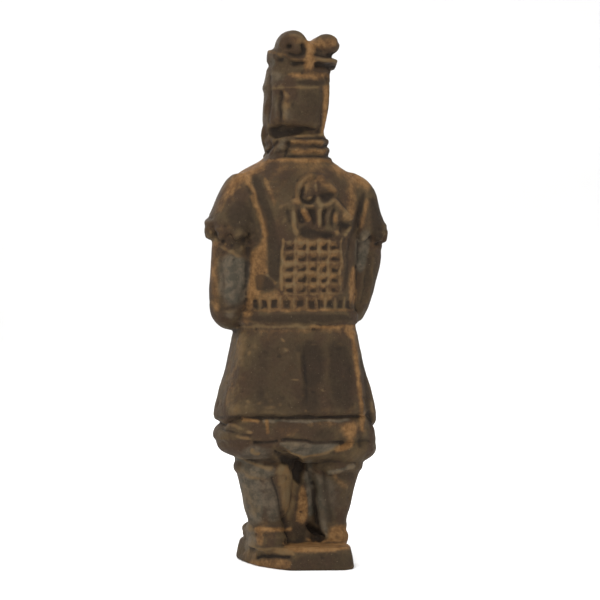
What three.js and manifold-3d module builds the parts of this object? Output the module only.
// A small souvenir statuette of a terracotta officer, cast in one piece of dark clay with its low base.
// He stands upright with his hands folded before him, in a hat with rolled tails, a neck scarf, a vest of armour plates
// tied with ribbon bows, a long double robe, gathered trousers and square-toed shoes.
// Millimetres. +Z is up, he faces -Y, and his left hand is towards +X. The origin is on the base's underside.
import * as THREE from "three";
import { mergeVertices } from "three/addons/utils/BufferGeometryUtils.js";
import Module from "manifold-3d";

const wasm = await Module();
wasm.setup();

// Driving dimensions
const FIGURE_HEIGHT = 142.5; // from the soles to the crown of the hat
const BASE_HEIGHT = 6;
const BASE_MARGIN = 1.4; // how far the base runs beyond the shoes
const BASE_FLARE = 1.1; // how much wider the base is at its foot
const BASE_GROOVE = 1.5; // radius of the groove under the left shoe
const PLATE_COLUMNS = 5;
const PLATE_ROWS = 5;
const PLATE_PITCH_X = 3.8;
const PLATE_PITCH_Z = 3;
const PLATE_GAP = 0.9;
const PLATE_RELIEF = 0.65;
const WAIST_PLATES = 8;
const WAIST_PLATE_HEIGHT = 3.6;
const APRON_ROWS = 4;
const BAND_RELIEF = 0.7; // plain borders of the armour vest
const BOW_RELIEF = 1.1; // height of the ribbon knots
const SCARF_RINGS = 3;
const SCARF_PITCH = 2.4;
const SCARF_RELIEF = 0.8;
const SCALLOPS = 9; // lobes round the hem of each shoulder cape
const SCALLOP_DEPTH = 1;
const SINK = 1; // how far each raised form reaches into the clay below it

// The figure keeps its pose and proportions as shares of its height, in units of which it is 142.5 high.
const UNIT = FIGURE_HEIGHT / 142.5;
const high = (z) => BASE_HEIGHT + z * UNIT;
const at = (x, y, z) => new THREE.Vector3(x * UNIT, y * UNIT, high(z));
const spots = (list) => list.map(([x, z]) => [x * UNIT, high(z)]);

const LEFT = 1;
const RIGHT = -1;
const BACK = 1;
const FRONT = -1;
const BOTH_SIDES = [LEFT, RIGHT];

// One level section of a body: a rounded oblong about (x, y), with its own depth to the front and to the back.
// square is 2 for an ellipse, and more for squarer corners.
function section(z, side, front, back, { square = 2.2, x = 0, y = 0 } = {}) {
  return {
    z: high(z),
    side: side * UNIT,
    front: front * UNIT,
    back: back * UNIT,
    square,
    x: x * UNIT,
    y: y * UNIT,
  };
}

function outlinePoint(ring, angle) {
  const [c, s] = [Math.cos(angle), Math.sin(angle)];
  const round = (v) => Math.sign(v) * Math.abs(v) ** (2 / ring.square);
  return [ring.x + ring.side * round(c), ring.y + (s > 0 ? ring.back : ring.front) * round(s)];
}

// A closed three.js shape as a solid with its faces pointing out.
function solid(geometry) {
  const bare = geometry.clone();
  for (const name of Object.keys(bare.attributes)) {
    if (name !== "position") bare.deleteAttribute(name);
  }
  const merged = mergeVertices(bare, 1e-4);
  const vertProperties = merged.attributes.position.array;
  const corners = [...merged.index.array];
  const made = (triVerts) => new wasm.Manifold(new wasm.Mesh({ numProp: 3, vertProperties, triVerts }));
  const body = made(new Uint32Array(corners));
  return body.volume() > 0 ? body : made(new Uint32Array(corners.reverse()));
}

// A closed skin over a row of rings that all have the same count of points.
function skin(rings) {
  const count = rings[0].length;
  const points = rings.flat();
  const faces = [];
  const centre = (ring) => ring.reduce((sum, p) => sum.add(p), new THREE.Vector3()).divideScalar(count);
  for (let r = 0; r < rings.length - 1; r++) {
    for (let i = 0; i < count; i++) {
      const [a, b] = [r * count + i, r * count + ((i + 1) % count)];
      faces.push(a, b, b + count, a, b + count, a + count);
    }
  }
  const last = (rings.length - 1) * count;
  const bottom = points.push(centre(rings[0])) - 1;
  const top = points.push(centre(rings[rings.length - 1])) - 1;
  for (let i = 0; i < count; i++) {
    const next = (i + 1) % count;
    faces.push(bottom, next, i, top, last + i, last + next);
  }
  return solid(new THREE.BufferGeometry().setFromPoints(points).setIndex(faces));
}

// A body made of level sections. ripple(ring, angle) gives how far a point is pushed out and lifted.
function loft(rings, { around = 16, ripple = () => [0, 0] } = {}) {
  return skin(
    rings.map((ring) =>
      Array.from({ length: around }, (_, i) => {
        const angle = (i / around) * 2 * Math.PI;
        const [x, y] = outlinePoint(ring, angle);
        const [push, lift] = ripple(ring, angle);
        return new THREE.Vector3(x + Math.cos(angle) * push, y + Math.sin(angle) * push, ring.z + lift);
      }),
    ),
  );
}

// A limb, cord or fold along a smooth curve. radii, in units, are spread evenly over its length,
// thin = [direction, share] flattens its section along that direction, and cap holds the heights of any
// rings that round its ends, outermost first, as shares of the radius.
function limb(points, radii, { around = 6, steps = 1, thin = null, cap = [] } = {}) {
  const curve = new THREE.CatmullRomCurve3(points, false, "centripetal");
  const count = (points.length - 1) * steps;
  const frames = curve.computeFrenetFrames(count, false);
  const radiusAt = (t) => {
    const place = t * (radii.length - 1);
    const i = Math.min(Math.floor(place), radii.length - 2);
    return THREE.MathUtils.lerp(radii[i], radii[i + 1], place - i) * UNIT;
  };
  const ring = (i, beyond, radius) => {
    const centre = curve.getPointAt(i / count).addScaledVector(frames.tangents[i], beyond);
    return Array.from({ length: around }, (_, k) => {
      const angle = (k / around) * 2 * Math.PI;
      const out = new THREE.Vector3()
        .addScaledVector(frames.normals[i], Math.cos(angle) * radius)
        .addScaledVector(frames.binormals[i], Math.sin(angle) * radius);
      if (thin) out.addScaledVector(thin[0], out.dot(thin[0]) * (thin[1] - 1));
      return centre.clone().add(out);
    });
  };
  const rings = [];
  const width = (share) => Math.sqrt(1 - share * share);
  const [start, end] = [radiusAt(0), radiusAt(1)];
  for (const share of cap) rings.push(ring(0, -start * share, start * width(share)));
  for (let i = 0; i <= count; i++) rings.push(ring(i, 0, radiusAt(i / count)));
  for (const share of [...cap].reverse()) rings.push(ring(count, end * share, end * width(share)));
  return skin(rings);
}

function blob(centre, radii, detail = 8) {
  const geometry = new THREE.SphereGeometry(1, detail, Math.round(detail * 0.6));
  geometry.scale(...radii.map((r) => r * UNIT));
  return solid(geometry.translate(centre.x, centre.y, centre.z));
}

// Where the skin of a lofted body lies, facing back or front, at x and height z.
function depthAt(rings, x, z, face) {
  const found = rings.findIndex((ring) => ring.z >= z);
  const upper = found === -1 ? rings.length - 1 : Math.max(found, 1);
  const [below, above] = [rings[upper - 1], rings[upper]];
  const share = THREE.MathUtils.clamp((z - below.z) / (above.z - below.z), 0, 1);
  const mixed = (name) => THREE.MathUtils.lerp(below[name], above[name], share);
  const across = Math.min(Math.abs((x - mixed("x")) / mixed("side")), 0.985);
  const depth = mixed(face === BACK ? "back" : "front");
  return mixed("y") + face * depth * (1 - across ** mixed("square")) ** (1 / mixed("square"));
}

const onSkin = (rings, face, [x, z], height) =>
  new THREE.Vector3(x, depthAt(rings, x, z, face) + face * height, z);

// A raised pad on the back or front of a body. Its outline is a list of [x, z], its outer face follows the body,
// and its edge slopes in by the bevel.
function pad(rings, face, outline, relief, bevel = 0) {
  const centre = [0, 1].map((k) => outline.reduce((sum, p) => sum + p[k], 0) / outline.length);
  const inward = outline.map((p) => {
    const share = Math.max(1 - bevel / Math.hypot(p[0] - centre[0], p[1] - centre[1]), 0.3);
    return p.map((v, k) => centre[k] + (v - centre[k]) * share);
  });
  const level = (points, height) => points.map((p) => onSkin(rings, face, p, height));
  return skin([level(outline, -SINK), level(inward, relief)]);
}

// A raised band on the back or front of a body, between pairs of edge points.
function band(rings, face, pairs, relief) {
  return skin(
    pairs.map(([inner, outer]) => [
      onSkin(rings, face, inner, -SINK),
      onSkin(rings, face, outer, -SINK),
      onSkin(rings, face, outer, relief),
      onSkin(rings, face, inner, relief),
    ]),
  );
}

function rectangle(x, z, width, height) {
  const [w, h] = [width / 2, height / 2];
  return [
    [x - w, z - h],
    [x + w, z - h],
    [x + w, z + h],
    [x - w, z + h],
  ];
}

// Under-robe, robe, belt and armour vest, from the lowest hem to the foot of the neck
const BODY = [
  section(27.2, 17, 12, 11.6, { square: 2.6 }),
  section(28, 21.6, 14, 13.2, { square: 2.6 }),
  section(29.6, 23.4, 15, 14, { square: 2.6 }),
  section(32.6, 22.2, 15.2, 14.2, { square: 2.7 }),
  section(33.6, 20.5, 14.4, 13.4, { square: 2.8 }),
  section(34.4, 22.1, 16.1, 14.8, { square: 2.9 }),
  section(35.6, 22.6, 16.7, 15.4, { square: 2.9 }),
  section(41, 21.5, 15.9, 14.9, { square: 2.9 }),
  section(50, 19.1, 14.5, 14, { square: 2.8 }),
  section(60.6, 16.5, 12.9, 12.9, { square: 2.8 }),
  section(61, 16.3, 12.6, 12.6, { square: 2.7 }),
  section(61.6, 17.5, 13.4, 13.6, { square: 2.7 }),
  section(64.2, 17.3, 13.6, 13.8, { square: 2.7 }),
  section(64.9, 16.4, 12.8, 12.7, { square: 2.6 }),
  section(72, 16.7, 13.4, 13.1, { square: 2.6 }),
  section(84, 17.2, 13.4, 13.4, { square: 2.6 }),
  section(91, 18, 12.8, 13.2, { square: 2.6 }),
  section(97, 18.8, 11.8, 12.2, { square: 2.5 }),
  section(101, 18.4, 10.4, 11, { square: 2.4 }),
  section(103.4, 16.2, 9.4, 10, { square: 2.3 }),
  section(105.6, 12.6, 8.6, 9),
  section(107.2, 9.9, 7.9, 8.3),
  section(108.8, 8, 7, 7),
];

// The under-robe's hem hangs in soft waves, and both hems drop lower round the right side.
function bodyForms() {
  const hang = (ring, angle) => {
    const share = THREE.MathUtils.clamp((high(31) - ring.z) / (3 * UNIT), 0, 1);
    const low = THREE.MathUtils.clamp((high(41) - ring.z) / (5 * UNIT), 0, 1);
    const hem = Math.min(low, THREE.MathUtils.clamp((ring.z - high(30)) / (2 * UNIT), 0, 1));
    const right = THREE.MathUtils.smoothstep(-Math.cos(angle), 0.72, 0.97);
    const behind = THREE.MathUtils.smoothstep(Math.sin(angle), 0, 0.6);
    const fall = low * (0.5 * behind - 2.6 * right) + 1.7 * hem * behind;
    const lift = fall + share * 0.7 * Math.sin(3 * angle + 1);
    return [share * 0.5 * UNIT * Math.sin(6 * angle), lift * UNIT];
  };
  const panel = [
    [[-14.4, 37.6], [17.6, 37.6]],
    [[-13.6, 46], [16.2, 46]],
    [[-12.6, 60], [14, 60]],
  ].map(spots);
  return [loft(BODY, { around: 24, ripple: hang }), band(BODY, BACK, panel, 0.5)];
}

// Scarf rings round the neck, the head, and the two ridges of the headband
function headSections() {
  const top = 113.6;
  const keys = [section(104.6, 10.2, 8.6, 8.8)];
  for (let i = SCARF_RINGS - 1; i >= 0; i--) {
    const [half, swell] = [SCARF_PITCH / UNIT / 2, SCARF_RELIEF / UNIT / 2];
    const z = top - (2 * i + 1) * half;
    const width = 8.76 + i * 0.11;
    const place = { x: -0.24 - i * 0.2, y: 0.1 };
    keys.push(section(z - half * 0.9, width - swell, 7.9 - swell, 8.2 - swell, place));
    keys.push(section(z - half * 0.4, width + swell, 7.9 + swell, 8.2 + swell, place));
    keys.push(section(z + half * 0.4, width + swell, 7.9 + swell, 8.2 + swell, place));
  }
  return [
    ...keys,
    section(113.9, 8.2, 7.4, 7.6, { x: 0.2 }),
    section(115, 7.9, 8.6, 8.6, { x: 0.8 }),
    section(117.4, 8, 9.5, 9.7, { x: 0.9 }),
    section(121, 8.2, 9.7, 10, { x: 0.7 }),
    section(127, 8.6, 9.4, 9.9, { x: 0 }),
    section(127.5, 9, 9.9, 10.3, { x: 0 }),
    section(128.8, 8.9, 9.8, 10.3, { x: -0.2 }),
    section(129.3, 8.6, 9.1, 9.7, { x: -0.2 }),
    section(130.9, 8.6, 9, 9.6, { x: -0.4 }),
    section(131.4, 8.8, 9.6, 10.2, { x: -0.8 }),
    section(132.6, 8.8, 9.4, 10.1, { x: -0.9 }),
    section(133.2, 8.4, 8.2, 8.9, { x: -0.8 }),
  ];
}
const HEAD = headSections();

function scarfEnds() {
  const crossed = BOTH_SIDES.map((side) => {
    const path = [at(side * 6.6, -5.2, 108.6), at(side * 4, -8.6, 106.4), at(-side * 1.4, -11, 102.6)];
    return limb(path, [1.3, 1.6, 1.2]);
  });
  return [...crossed, limb([at(7.8, 2, 114.2), at(7.4, 5, 111.5), at(7.6, 3.6, 107.8)], [1.1, 1.2, 0.9])];
}

// A calm, full face on plain proportions, with a thin moustache
function faceForms() {
  const forms = [
    limb([at(0, -9.2, 124.6), at(0, -10.4, 122), at(0, -11.2, 119.9)], [0.7, 0.9, 1.3]),
    blob(at(0, -7.4, 115.6), [4, 2.8, 2.4]),
    limb([at(-2.2, -9.2, 117), at(0, -9.8, 117.2), at(2.2, -9.2, 117)], [0.6, 1, 0.6], { around: 5 }),
  ];
  for (const side of BOTH_SIDES) {
    const brow = [at(side * 1, -9.3, 124.8), at(side * 3.6, -8.9, 125.3), at(side * 6.4, -7, 124.6)];
    const lip = [at(side * 0.7, -9.9, 118.5), at(side * 2.4, -9.5, 118.2), at(side * 4.2, -8.4, 117.2)];
    const ear = [at(side * 7.7 + 0.3, 0.4, 124), at(side * 8.1 + 0.3, 0.6, 121.6), at(side * 7.5 + 0.4, -0.8, 118.4)];
    forms.push(limb(brow, [0.5, 0.8, 0.5], { around: 5 }));
    forms.push(limb(lip, [0.4, 0.5, 0.3], { around: 4 }));
    forms.push(limb(ear, [0.9, 1.2, 0.8], { around: 5 }));
    forms.push(blob(at(side * 3.7, -8, 122.4), [1.9, 1.3, 1.1], 6));
  }
  return forms;
}

// The hair: a broad folded plait laid flat up the back of the head, softer locks beside it, and the jaw ribbon
function hairForms() {
  const plait = [[-4.9, 116.2], [0, 115.8], [4.9, 115.4], [5.2, 120], [4.4, 126.4], [-3.6, 127], [-5.2, 121]];
  const lock = [[6.2, 115.6], [7.8, 116.4], [7.8, 124.6], [7, 126.4], [6.2, 121]];
  return [
    pad(HEAD, BACK, spots(plait), 0.8 * UNIT, 0.5 * UNIT),
    pad(HEAD, BACK, spots(lock), 0.5 * UNIT, 0.3 * UNIT),
    limb([at(-5.1, 6.5, 113.6), at(-6.6, 6.5, 123), at(-7.1, 6.3, 131.4)], [1, 1.1, 1], { around: 5 }),
    limb([at(8, -1, 118), at(8.4, -2, 113.8), at(7.4, -3.2, 110.8)], [0.8, 1.2, 1], { around: 5 }),
  ];
}

// The hat: a tilted board over the headband, and two rolled tails with hollow ends
function hatForms() {
  const crown = [
    section(132, 8.2, 7.8, 8.4, { x: -0.8, square: 2.6 }),
    section(133.4, 8.2, 6.6, 8.4, { x: -0.8, y: 1, square: 2.6 }),
    section(134.2, 9.3, 8, 9.2, { x: -1.2, y: 1.6, square: 2.8 }),
    section(136, 9.4, 8, 9.2, { x: -1.2, y: 2, square: 2.8 }),
    section(137.4, 7.4, 5, 6.6, { x: -0.8, y: 2.4, square: 2.6 }),
  ];
  const slope = (angle) => Math.cos(angle) * (Math.cos(angle) > 0 ? 1 : 1.6);
  const tilt = (ring, angle) => [0, ring.z > high(133.8) ? slope(angle) * UNIT : 0];
  const rolls = [
    limb([at(2.2, -3, 137), at(2.9, 3, 138.6), at(3.4, 8, 138.4)], [2.4, 3.9, 4.1], { around: 9, cap: [0.7] }),
    limb([at(-3, -2.6, 136.6), at(-5.6, 3.4, 138.4), at(-6.5, 8, 138.9)], [2.2, 3.5, 3.8], {
      around: 9,
      cap: [0.7],
      thin: [new THREE.Vector3(0, 0, 1), 0.8],
    }),
  ];
  const seam = limb([at(-0.4, 9.4, 132), at(-0.6, 10.4, 135), at(-1.2, 9, 137.6)], [1.3, 1.2, 1.6]);
  const saddle = limb([at(2.6, 6.5, 137), at(-1.2, 7, 137.4), at(-5, 6.5, 137.1)], [2.4, 2.6, 2.4]);
  const hollow = blob(at(4, 12, 138.8), [1.3, 1.8, 1.2], 6);
  return [joined([loft(crown, { ripple: tilt }), ...rolls, seam, saddle]).subtract(hollow)];
}

// Shoulder capes with a lobed hem, over wide sleeves bent at the elbow to the folded hands
function armForms() {
  const lobes = (ring, angle) => {
    const low = THREE.MathUtils.clamp((high(90) - ring.z) / (4 * UNIT), 0, 1);
    const wave = Math.cos(SCALLOPS * angle);
    return [SCALLOP_DEPTH * low * wave * 0.6, -SCALLOP_DEPTH * low * wave];
  };
  // Each cape section is its height, how far out it reaches, and its half width and half depth.
  const shapes = new Map([
    [
      LEFT,
      {
        cape: [
          [85.2, 22, 4, 5],
          [85.8, 25.6, 7, 8.4],
          [87.4, 26.4, 7.6, 9.1],
          [93, 24.6, 6.8, 8.3],
          [98, 22.4, 6.2, 7.3],
          [100.8, 20.9, 5.6, 6.2],
          [102.9, 18.8, 3.8, 4.2],
        ],
        arm: [[17.8, 0.4, 90], [18.7, 1, 82], [19.3, 1, 74], [19.4, -0.4, 66], [15, -7, 64.4], [9.8, -12.6, 66.2]],
        fold: [[20.8, 4.2, 65.4], [21.4, -0.6, 63.2], [18.4, -5.6, 62.4]],
      },
    ],
    [
      RIGHT,
      {
        cape: [
          [84.8, 22, 4, 5],
          [85.4, 26.4, 7.2, 8.6],
          [87.6, 27.3, 7.8, 9.2],
          [93.4, 25.5, 6.9, 8.3],
          [98.8, 24, 6.5, 7.5],
          [101.6, 22, 5.8, 6.4],
          [104, 17.8, 4, 4.4],
        ],
        arm: [[18.8, 0.4, 90], [19.4, 1, 82], [18.2, 1, 74], [16.3, -0.4, 66.4], [13.6, -7, 64.6], [9.4, -12.6, 66.4]],
        fold: [[17.8, 4.2, 65.6], [18.6, -0.6, 63.4], [16, -5.6, 62.6]],
      },
    ],
  ]);
  const forms = [];
  for (const [side, { cape, arm, fold }] of shapes) {
    const rings = cape.map(([z, reach, half, depth]) =>
      section(z, half, depth, depth, { x: side * (reach - 1.08 * half) }),
    );
    const sleeve = [...arm, [5.4, -15.2, 67.8]].map(([x, y, z]) => at(side * x, y, z));
    const cuff = [at(side * 7.6, -14, 69.8), at(side * 6.2, -16.4, 66.8), at(side * 6.6, -14.4, 63.8)];
    forms.push(loft(rings, { around: 2 * SCALLOPS, ripple: lobes }));
    forms.push(limb(sleeve, [5.8, 6, 5.8, 5.5, 4.9, 4.4, 4], { around: 10 }));
    forms.push(limb(cuff, [1.6, 1.8, 1.6], { around: 5 }));
    forms.push(limb(fold.map(([x, y, z]) => at(side * x, y, z)), [1.6, 2.1, 1.6]));
  }
  return forms;
}

// The right hand laid over the left, fingers pointing down
function handForms() {
  const fingers = [-2.6, -0.9, 0.8, 2.5].map((x) =>
    limb([at(x - 0.8, -17, 69.6), at(x, -18.2, 67), at(x + 0.5, -17.4, 63.4)], [0.8, 0.85, 0.7], { around: 5 }),
  );
  const thumb = limb([at(3.8, -16.4, 69.4), at(1.6, -17.4, 71), at(-0.6, -17.2, 71.2)], [0.9, 0.9, 0.7], { around: 5 });
  return [blob(at(0, -15.6, 67.2), [5.4, 2.4, 3.6]), ...fingers, thumb];
}

// Armour plates in rows of one width about a centre line, down from a top edge
function plateRows(rings, face, middle, top, rowColumns, relief) {
  const forms = [];
  rowColumns.forEach((columns, row) => {
    for (let column = 0; column < columns; column++) {
      const x = middle + (column - (columns - 1) / 2) * PLATE_PITCH_X;
      const z = top - (row + 0.5) * PLATE_PITCH_Z;
      const outline = rectangle(x, z, PLATE_PITCH_X - PLATE_GAP, PLATE_PITCH_Z - PLATE_GAP);
      forms.push(pad(rings, face, outline, relief, PLATE_GAP * 0.25));
    }
  });
  return forms;
}

// The vest's back: the plate grid, a row of tall plates at the waist, and plain borders that run up into straps
function backArmour() {
  const middle = -0.6 * UNIT;
  const forms = plateRows(BODY, BACK, middle, high(85.4), Array(PLATE_ROWS).fill(PLATE_COLUMNS), PLATE_RELIEF);
  for (let i = 0; i < WAIST_PLATES; i++) {
    const x = 1.4 * UNIT + (i - (WAIST_PLATES - 1) / 2) * PLATE_PITCH_X;
    forms.push(pad(BODY, BACK, rectangle(x, high(67.7), PLATE_PITCH_X - PLATE_GAP, WAIST_PLATE_HEIGHT), PLATE_RELIEF));
  }
  const inner = (PLATE_COLUMNS * PLATE_PITCH_X) / 2;
  for (const side of BOTH_SIDES) {
    const border = [[0.2, 3, 70.4], [0.2, 3.2, 84], [1.2, 4.2, 90], [2.8, 5.6, 95], [5, 7.4, 99.4], [5.2, 7.2, 102]];
    const pairs = border.map(([near, far, z]) =>
      [near, far].map((x) => [middle + side * (inner + x * UNIT), high(z)]),
    );
    forms.push(band(BODY, BACK, pairs, BAND_RELIEF));
  }
  const tab = rectangle(inner + 4.4 * UNIT, high(73.2), 3.4 * UNIT, 3.4 * UNIT);
  return [...forms, pad(BODY, BACK, tab, BAND_RELIEF, BAND_RELIEF * 0.5)];
}

// The vest's front: plates over the belly, and a rounded apron of plates over the robe
function frontArmour() {
  const apron = [[-11, 60.4], [11, 60.4], [9.6, 52], [5.4, 45.4], [0, 42.6], [-5.4, 45.4], [-9.6, 52]];
  const apronColumns = Array.from({ length: APRON_ROWS }, (_, row) => PLATE_COLUMNS - row);
  return [
    ...plateRows(BODY, FRONT, 0, high(84), [PLATE_COLUMNS, PLATE_COLUMNS, PLATE_COLUMNS], PLATE_RELIEF),
    pad(BODY, FRONT, spots(apron), BAND_RELIEF),
    ...plateRows(BODY, FRONT, 0, high(59.4), apronColumns, BAND_RELIEF + PLATE_RELIEF),
  ];
}

// A ribbon knot: two hanging teardrop loops, each open in its middle where it is large enough, and a tie
function bow(face, x, z, spread, drop) {
  const spot = (dx, dz) => [(x + dx) * UNIT, high(z + dz)];
  const teardrop = (side, grow) =>
    [[0.05, 0.2], [0.66, -0.02], [1, -0.42], [0.92, -0.84], [0.5, -1], [0.16, -0.72]].map(([u, v]) => {
      const [du, dv] = [(u - 0.56) * grow, (v + 0.5) * grow];
      return spot(side * (0.56 + du) * spread, (dv - 0.5) * drop);
    });
  const loops = BOTH_SIDES.map((side) => {
    const whole = pad(BODY, face, teardrop(side, 1), BOW_RELIEF, BOW_RELIEF * 0.5);
    if (spread < 2.5) return whole;
    return whole.subtract(pad(BODY, face, teardrop(side, 0.42), BOW_RELIEF * 3));
  });
  const tie = [[-0.7, -1.6], [0.7, -1.6], [0.8, 0.6], [0, 1.3], [-0.8, 0.6]].map(([dx, dz]) => spot(dx, dz));
  return [...loops, pad(BODY, face, tie, BOW_RELIEF * 1.3)];
}

const BACK_BOWS = [[-1.6, 101.2, 5.7, 7.9], [4.7, 92.9, 4.8, 8.6], [-6.8, 92.9, 4.6, 8.6]];
const FRONT_BOWS = [[4.8, 93.6], [-4.8, 93.6]];
const SHOULDER_BOWS = [[11.6, 98.4], [-11.6, 98.4]];

function bowForms() {
  return [
    ...BACK_BOWS.flatMap(([x, z, spread, drop]) => bow(BACK, x, z, spread, drop)),
    ...FRONT_BOWS.flatMap(([x, z]) => bow(FRONT, x, z, 3, 4.4)),
    ...SHOULDER_BOWS.flatMap(([x, z]) => bow(FRONT, x, z, 1.9, 3)),
  ];
}

// Gathered trousers that puff out under the robes, tied below the knee, and leggings down to an ankle band
function legForms() {
  const forms = [];
  const puffs = [
    [at(11.2, 0, 28.4), [11.4, 12, 5]],
    [at(-12.6, 0, 26.2), [11.2, 12, 5.4]],
  ];
  for (const [centre, radii] of puffs) forms.push(blob(centre, radii, 12));
  for (const [x, y, ankle, band] of [[8.8, 0, 4.6, 0.4], [-10.3, 1.4, 4, 0.2]]) {
    forms.push(
      loft(
        [
          section(-1, ankle + 0.4, 5.6, 5.6, { x, y }),
          section(3.2, ankle - 0.2, 5.6, 5.6, { x, y }),
          section(3.8, ankle + band, 5.6 + band, 5.6 + band, { x, y }),
          section(4.9, ankle + band, 5.6 + band, 5.6 + band, { x, y }),
          section(5.5, ankle, 5.6, 5.6, { x, y }),
          section(10, ankle + 1.3, 6.3, 6.6, { x, y: y * 0.8 }),
          section(19.6, 7.8, 7.6, 8, { x: x * 1.04, y: y * 0.5 }),
          section(20.6, 8.7, 8.4, 8.8, { x: x * 1.04, y: y * 0.5 }),
          section(22, 8.7, 8.4, 8.8, { x: x * 1.04, y: y * 0.5 }),
          section(23, 8.2, 7.6, 8, { x: x * 1.04, y: y * 0.5 }),
          section(28, 7, 7, 7, { x }),
        ],
        { around: 14 },
      ),
    );
  }
  const seat = [section(22.8, 8, 7, 8, { x: -2.4 }), section(24.4, 15, 10, 11, { x: -1 }), section(28.6, 18, 12, 12.6)];
  const web = [section(-1, 6.4, 4, 3.4), section(10, 6.4, 4, 2.6), section(25, 5, 4, 2.6)];
  return [...forms, loft(seat), loft(web, { around: 8 })];
}

// Short shoes with square turned-up toes
function shoeForms() {
  const flat = [new THREE.Vector3(0, 0, 1), 0.72];
  const forms = [];
  for (const x of [8.6, -9.8]) {
    const sole = [at(x, 4.8, 1.4), at(x, -1, 1.9), at(x, -6, 1.8), at(x, -9.6, 1.6)];
    const toe = [-2.4, 0, 2.4].map((across) => at(x + across, across ? -11.6 : -12.4, across ? 2.6 : 3.2));
    forms.push(limb(sole, [4.4, 4.4, 4.1, 3.7], { around: 9, thin: flat, cap: [0.7] }));
    forms.push(limb(toe, [1.2, 1.4, 1.2], { around: 5 }));
  }
  return forms;
}

// The low base: a slab round both shoes, squared off behind the right heel and rounded away behind the left one,
// with a groove under the left shoe
function baseForm() {
  const corner = ([x, y]) =>
    new THREE.Vector2(x * UNIT + Math.sign(x) * BASE_MARGIN, y * UNIT + Math.sign(y) * BASE_MARGIN);
  const left = [[10.8, -13.6], [12.3, -11], [12.2, -3], [10.9, 1.4], [7.9, 7.4], [4.8, 11.6], [-1, 14.2]];
  const right = [[-7.2, 16.2], [-10.2, 14.8], [-11.9, 10], [-12.2, 2], [-12, -9], [-10.6, -13]];
  const level = (z, grow) =>
    [...left, ...right].map(corner).map((p) => {
      const wide = p.clone().setLength(p.length() + grow);
      return new THREE.Vector3(wide.x, wide.y, z);
    });
  const slab = skin([level(0, 0), level(BASE_HEIGHT * 0.9, -BASE_FLARE), level(BASE_HEIGHT, -BASE_FLARE * 1.6)]);
  const edge = [[12.8, -12], [12.8, -4], [9.6, 5], [5, 11.4]].map(corner);
  const path = edge.map((p) => new THREE.Vector3(p.x, p.y, BASE_HEIGHT * 0.45));
  return slab.subtract(limb(path, [0.6, 1, 0.6].map((share) => (share * BASE_GROOVE) / UNIT)));
}

function joined(forms) {
  return forms.reduce((sum, form) => sum.add(form));
}

const statuette = joined([
  baseForm(),
  ...shoeForms(),
  ...legForms(),
  ...bodyForms(),
  ...armForms(),
  ...handForms(),
  ...backArmour(),
  ...frontArmour(),
  ...bowForms(),
  loft(HEAD, { around: 16 }),
  ...scarfEnds(),
  ...faceForms(),
  ...hairForms(),
  ...hatForms(),
]);

// The outer skin of a body: small voids that its overlapping forms close in are left out, so the clay is solid.
function outerSkin({ vertProperties, triVerts }) {
  const parent = Array.from({ length: vertProperties.length / 3 }, (_, i) => i);
  const find = (i) => {
    while (parent[i] !== i) i = parent[i] = parent[parent[i]];
    return i;
  };
  for (let t = 0; t < triVerts.length; t += 3) {
    parent[find(triVerts[t])] = find(triVerts[t + 1]);
    parent[find(triVerts[t + 1])] = find(triVerts[t + 2]);
  }
  const shells = new Map();
  for (let t = 0; t < triVerts.length; t += 3) {
    const shell = find(triVerts[t]);
    if (!shells.has(shell)) shells.set(shell, []);
    shells.get(shell).push(...triVerts.subarray(t, t + 3));
  }
  return [...shells.values()].reduce((most, shell) => (shell.length > most.length ? shell : most));
}

function meshOf(body, name, material) {
  const shape = body.getMesh();
  const geometry = new THREE.BufferGeometry();
  geometry.setAttribute("position", new THREE.BufferAttribute(shape.vertProperties, 3));
  geometry.setIndex(outerSkin(shape));
  geometry.computeVertexNormals();
  const mesh = new THREE.Mesh(geometry, material);
  mesh.name = name;
  return mesh;
}

// Dark fired clay, rubbed with ochre earth
const clay = new THREE.MeshStandardMaterial({ color: 0x5a4938, roughness: 0.78, metalness: 0 });

const part = new THREE.Group();
part.add(meshOf(statuette, "warrior_statuette", clay));

export default part;
